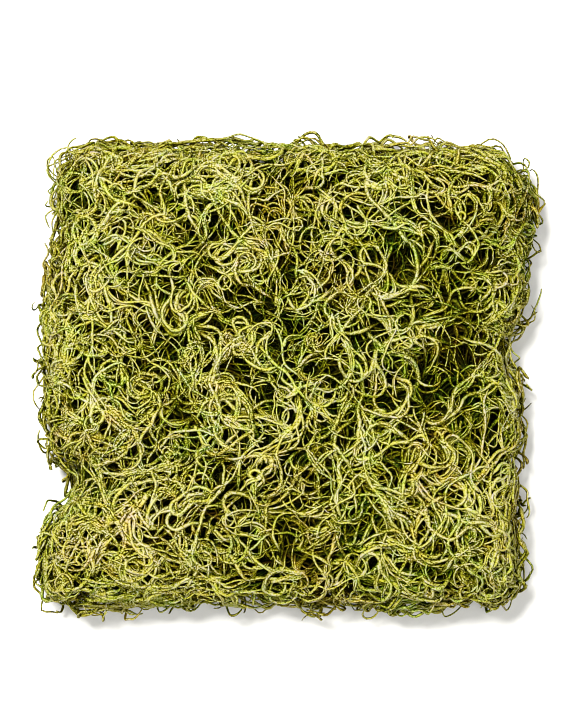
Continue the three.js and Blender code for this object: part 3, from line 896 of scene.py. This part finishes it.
# The layers of strands. Lengths, depths below the pillow, spans and pitches are in millimetres, kinks and
# leans in radians, and bends, wriggles and hooks in radians a millimetre. A layer faces up, 1, sideways,
# 0, or down, -1. Wisps are the leaves or twigs picked, and a bundle is how many lie together.
layers = {
    "top": {
        "seed": 3, "crowd": "skin", "starts": topStarts, "groups": 222,
        "stems": {
            "rings": 46, "sides": 4, "faces": 1, "bundle": (1, 4), "apart": 1.25, "length": (50, 92),
            "radius": (0.44, 0.93), "knobs": 0.15, "depth": (0.1, 4.2), "heave": 2.4, "heaveSpan": 9.0,
            "dive": 9.0, "diveDepth": 6.0, "clump": 1.1, "internode": (5, 16), "bend": (0.0, 0.17),
            "wriggle": 0.16, "wriggleSpan": 7.0, "kink": (0.05, 0.5), "coil": (0.0, 1.4),
            "pitch": (12, 30),
        },
        "leaves": {
            "wisps": 1200, "bundle": (1, 3), "apart": 0.85, "rings": 13, "sides": 4, "faces": 1,
            "lean": (0.15, 0.8), "astray": 0.1, "length": (10, 27), "radius": (0.37, 0.80),
            "knobs": 0.14, "depth": (-0.2, 4.2), "heave": 1.8, "heaveSpan": 8.0, "clump": 1.0,
            "internode": (6, 18), "bend": (0.0, 0.20), "wriggle": 0.18, "wriggleSpan": 5.5,
            "kink": (0.0, 0.45), "hook": (0.0, 0.2), "follow": 9.0, "tuck": (-1.5, 4.0),
            "coil": (0.0, 1.1), "pitch": (9, 22),
        },
        "twigs": {
            "wisps": 1180, "bundle": (1, 2), "apart": 0.8, "rings": 9, "sides": 3, "faces": 1,
            "lean": (0.3, 1.2), "astray": 0.3, "length": (6, 15), "radius": (0.32, 0.54), "knobs": 0.1,
            "depth": (0.2, 6.0), "heave": 1.5, "heaveSpan": 6.0, "clump": 1.0, "internode": (5, 14),
            "bend": (0.0, 0.2), "wriggle": 0.18, "wriggleSpan": 4.0, "kink": (0.0, 0.7),
            "hook": (0.0, 0.3), "follow": 6.0, "tuck": (-1.0, 2.5), "coil": (0.0, 0.8),
            "pitch": (7, 14),
        },
    },
    "deep": {
        "seed": 5, "crowd": "depths", "starts": topStarts, "groups": 125,
        "stems": {
            "rings": 34, "sides": 3, "faces": 1, "bundle": (2, 4), "apart": 1.4, "length": (56, 96),
            "radius": (0.55, 0.9), "knobs": 0.15, "depth": (4.4, 8.0), "heave": 2.2, "heaveSpan": 10.0,
            "dive": 10.0, "diveDepth": 2.5, "clump": 1.0, "internode": (8, 22), "bend": (0.0, 0.15),
            "wriggle": 0.14, "wriggleSpan": 8.0, "kink": (0.05, 0.5), "coil": (0.0, 1.3),
            "pitch": (14, 30),
        },
        "leaves": {
            "wisps": 300, "bundle": (1, 3), "apart": 0.8, "rings": 11, "sides": 3, "faces": 1,
            "lean": (0.3, 1.1), "astray": 0.2, "length": (10, 24), "radius": (0.34, 0.7), "knobs": 0.12,
            "depth": (3.6, 7.5), "heave": 1.5, "heaveSpan": 8.0, "clump": 1.0, "internode": (7, 20),
            "bend": (0.0, 0.20), "wriggle": 0.16, "wriggleSpan": 6.0, "kink": (0.0, 0.5),
            "hook": (0.0, 0.2), "follow": 9.0, "tuck": (0.0, 2.0), "coil": (0.0, 0.9),
            "pitch": (10, 20),
        },
    },
    "rim": {
        "seed": 7, "crowd": "skin", "starts": rimStarts, "groups": 92,
        "stems": {
            "rings": 39, "sides": 4, "faces": 0, "bundle": (2, 4), "apart": 1.5, "length": (46, 80),
            "radius": (0.45, 0.86), "knobs": 0.15, "depth": (-2.0, 6.5), "heave": 2.4, "heaveSpan": 9.0,
            "dive": 9.0, "diveDepth": 5.0, "clump": 0.94, "internode": (6, 17), "bend": (0.0, 0.20),
            "wriggle": 0.16, "wriggleSpan": 6.5, "kink": (0.05, 0.5), "coil": (0.3, 2.2),
            "pitch": (13, 26),
        },
        "leaves": {
            "wisps": 520, "bundle": (1, 3), "apart": 1.1, "rings": 14, "sides": 4, "faces": 0,
            "lean": (0.2, 0.9), "astray": 0.15, "length": (11, 27), "radius": (0.36, 0.74),
            "knobs": 0.14, "depth": (-5.2, 4.2), "heave": 2.2, "heaveSpan": 8.0, "clump": 1.1,
            "internode": (7, 20), "bend": (0.0, 0.20), "wriggle": 0.18, "wriggleSpan": 5.5,
            "kink": (0.0, 0.45), "hook": (0.0, 0.3), "follow": 9.0, "tuck": (-1.5, 9.0),
            "coil": (0.3, 2.0), "pitch": (12, 24),
        },
    },
    "under": {
        "seed": 9, "crowd": "skin", "starts": underStarts, "groups": 66,
        "stems": {
            "rings": 34, "sides": 4, "faces": -1, "bundle": (2, 4), "apart": 1.4, "length": (58, 96),
            "radius": (0.55, 0.92), "knobs": 0.18, "depth": (0.7, 5.5), "heave": 1.8, "heaveSpan": 10.0,
            "dive": 10.0, "diveDepth": 5.0, "clump": 0.85, "internode": (7, 20), "bend": (0.0, 0.13),
            "wriggle": 0.14, "wriggleSpan": 8.0, "kink": (0.1, 0.7), "coil": (0.0, 1.4),
            "pitch": (12, 28),
        },
        "leaves": {
            "wisps": 190, "bundle": (1, 3), "apart": 0.8, "rings": 13, "sides": 4, "faces": -1,
            "lean": (0.3, 1.0), "astray": 0.12, "length": (13, 29), "radius": (0.48, 0.80),
            "knobs": 0.16, "depth": (0.3, 4.0), "heave": 1.3, "heaveSpan": 8.0, "clump": 0.85,
            "internode": (7, 22), "bend": (0.0, 0.16), "wriggle": 0.16, "wriggleSpan": 6.5,
            "kink": (0.0, 0.6), "hook": (0.0, 0.2), "follow": 9.0, "tuck": (-1.0, 3.0),
            "coil": (0.0, 1.1), "pitch": (10, 22),
        },
    },
}

hearts = {
    "middle": {1: np.array([-4.0, 34.0, 20.0]), -1: np.array([8.0, -58.0, 20.0])},
    "round": 100,  # rays round it
    "up": 42,  # rings of rays
    "squash": (1.0, 0.62, 0.3),  # spreads the rays over its flat form
    "inset": 8.5,  # below the pillow
    "creaseInset": 0.5,
    "rough": 1.6,
    "grain": 1.9,  # how much finer it is than the clumps
    "lift": 0.6,  # above the surface
    "halvings": 24,
}

strandLook = strandMaterial()
heartThreadsAndShadeLook = heartThreadsAndShadeMaterial()


# Finishes a piece and puts it in its hank's place. Gives how many triangles it has.
def dress(piece, hank, material):
    piece.data.materials.append(material)
    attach(piece, "root")
    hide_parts(hank + "_hank")
    return sum(polygon.loop_total - 2 for polygon in piece.data.polygons)


crowds = {"skin": emptyCrowd(), "depths": emptyCrowd()}  # strands keep apart from others of their crowd
dustRng = np.random.default_rng(21)
total = 0
for hank, side in hankSides.items():
    total += dress(heart(hank + "_heart", side, hearts), hank, heartThreadsAndShadeLook)
for layerName, layer in layers.items():
    rng = np.random.default_rng(layer["seed"])
    crowd = crowds[layer["crowd"]]
    batches = {"stems": growStems(rng, crowd, layer["starts"], layer["groups"], layer["stems"])}
    for kind in ("leaves", "twigs"):
        if kind in layer:
            batches[kind] = growLeaves(rng, crowd, batches["stems"], layer[kind])
    for kind, batch in batches.items():
        batch["dust"] = dustRng.normal(0, 1, (len(batch["tone"]), 1)) + np.zeros_like(batch["tone"])
        past = pastCrease(batch["home"][:, 0], batch["home"][:, 1])
        for hank, side in hankSides.items():
            pick = np.flatnonzero(past * side > 0)
            count = dress(tubes(f"{hank}_{layerName}_{kind}", batch, pick), hank, strandLook)
            total += count
            print(hank, layerName, kind, len(pick), "strands,", count, "triangles")
print("triangles in all", total)

# What is seen at the bunch is in millimetres, and the floor and the lamps are in metres.
studio = {
    "pixel": 0.423,
    "picture": (569, 703),
    "centre": (-0.6, 10.4),
    "distance": 1500.0,
    "aim": 26.0,  # height at which a pixel has that size
    "sensor": 36.0,
    "clip": (0.01, 20.0),  # in metres
    "pixelFilter": 0.85,  # in pixels
    "floorSize": 40.0,
    "floorHeight": -0.0004,
    "floorFinish": {"Base Color": (0.9, 0.9, 0.89, 1), "Roughness": 0.8, "Specular IOR Level": 0.1},
    "lampsAim": (0, 0, 0.02),
    "sky": {"Color": (1.0, 0.99, 0.96, 1), "Strength": 0.24},
}
lamps = {
    "key": {"place": (-0.34, 0.42, 1.5), "size": 0.4, "power": 44, "colour": (1.0, 0.985, 0.95)},
    "fill": {"place": (0.3, -0.3, 1.6), "size": 0.9, "power": 13, "colour": (1.0, 0.99, 0.96)},
}


def makeFloor():
    half = studio["floorSize"] / 2
    mesh = bpy.data.meshes.new("floor")
    corners = [(-half, -half, 0), (half, -half, 0), (half, half, 0), (-half, half, 0)]
    mesh.from_pydata(corners, [], [(0, 1, 2, 3)])
    floor = bpy.data.objects.new("floor", mesh)
    bpy.context.scene.collection.objects.link(floor)
    floor.location.z = studio["floorHeight"]
    mesh.materials.append(Shader("paleFloor").finish(studio["floorFinish"]))


def makeLight(name, place, size, power, colour):
    data = bpy.data.lights.new(name, "AREA")
    data.shape = "DISK"
    data.size = size
    data.energy = power
    data.color = colour
    light = bpy.data.objects.new(name, data)
    light.location = place
    towards = Vector(studio["lampsAim"]) - Vector(place)
    light.rotation_euler = towards.to_track_quat("-Z", "Y").to_euler()
    bpy.context.scene.collection.objects.link(light)


# Looks straight down. The lens is what gives a pixel its size at the aim's height.
def makeCamera():
    across, down = studio["picture"]
    data = bpy.data.cameras.new("camera")
    data.sensor_fit = "VERTICAL"
    data.sensor_height = studio["sensor"]
    data.sensor_width = studio["sensor"] * across / down
    data.lens = data.sensor_height * studio["distance"] / (down * studio["pixel"])
    data.clip_start, data.clip_end = studio["clip"]
    camera = bpy.data.objects.new("camera", data)
    x, y = studio["centre"]
    camera.location = (x / metre, y / metre, (studio["aim"] + studio["distance"]) / metre)
    bpy.context.scene.collection.objects.link(camera)
    bpy.context.scene.camera = camera


def makeWorld():
    world = bpy.data.worlds.new("studio")
    world.use_nodes = True
    for key, value in studio["sky"].items():
        world.node_tree.nodes["Background"].inputs[key].default_value = value
    bpy.context.scene.world = world


makeFloor()
for name, lamp in lamps.items():
    makeLight(name, **lamp)
makeCamera()
makeWorld()
bpy.context.scene.view_settings.view_transform = "Standard"
bpy.context.scene.view_settings.look = "None"
bpy.context.scene.cycles.filter_width = studio["pixelFilter"]
